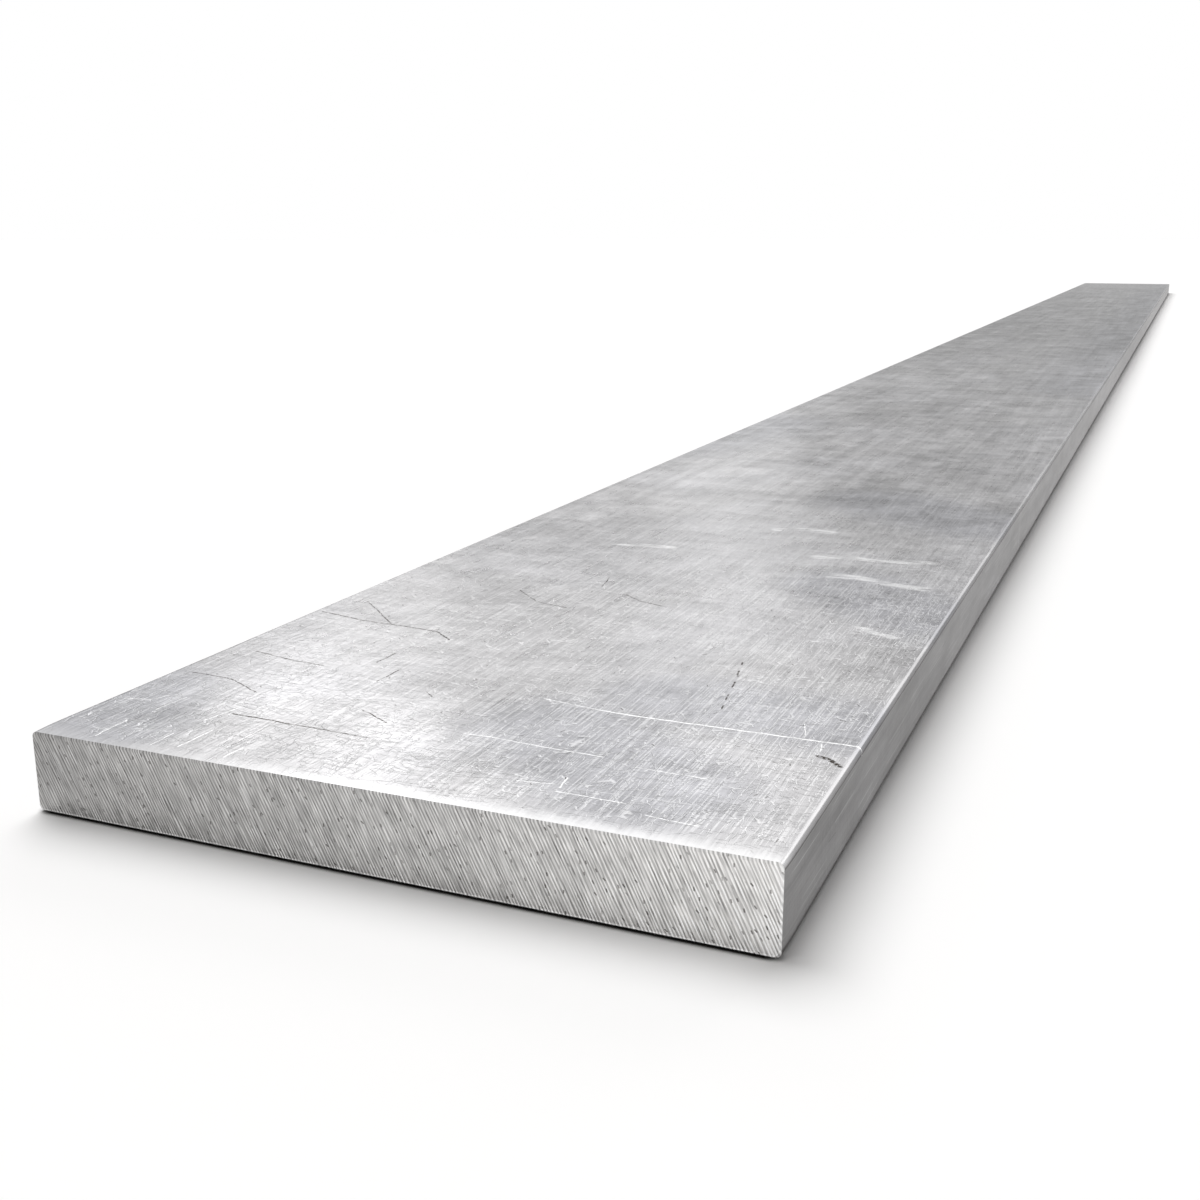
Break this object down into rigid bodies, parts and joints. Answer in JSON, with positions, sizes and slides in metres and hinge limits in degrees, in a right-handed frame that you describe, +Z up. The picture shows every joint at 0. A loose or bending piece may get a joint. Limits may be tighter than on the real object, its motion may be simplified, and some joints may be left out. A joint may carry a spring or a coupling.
{
  "type": "metal flat bar",
  "caption": "Solid aluminium flat bar of rectangular section with rounded long corners, square saw-cut ends and bevelled end rims, for frames, brackets and machining.",
  "frame": {"origin": "centre of the underside, on the surface the bar lies on", "axes": "+Y along the bar's length, +X across its width, +Z up through its thickness"},
  "size_m": [0.09, 1.6, 0.01],
  "materials": {
    "mill_finish_aluminium": "mill finish with die lines and handling scratches; saw-cut ends"
  },
  "bodies": {
    "root": {"flat_bar": "mill_finish_aluminium"}
  },
  "joints": []
}
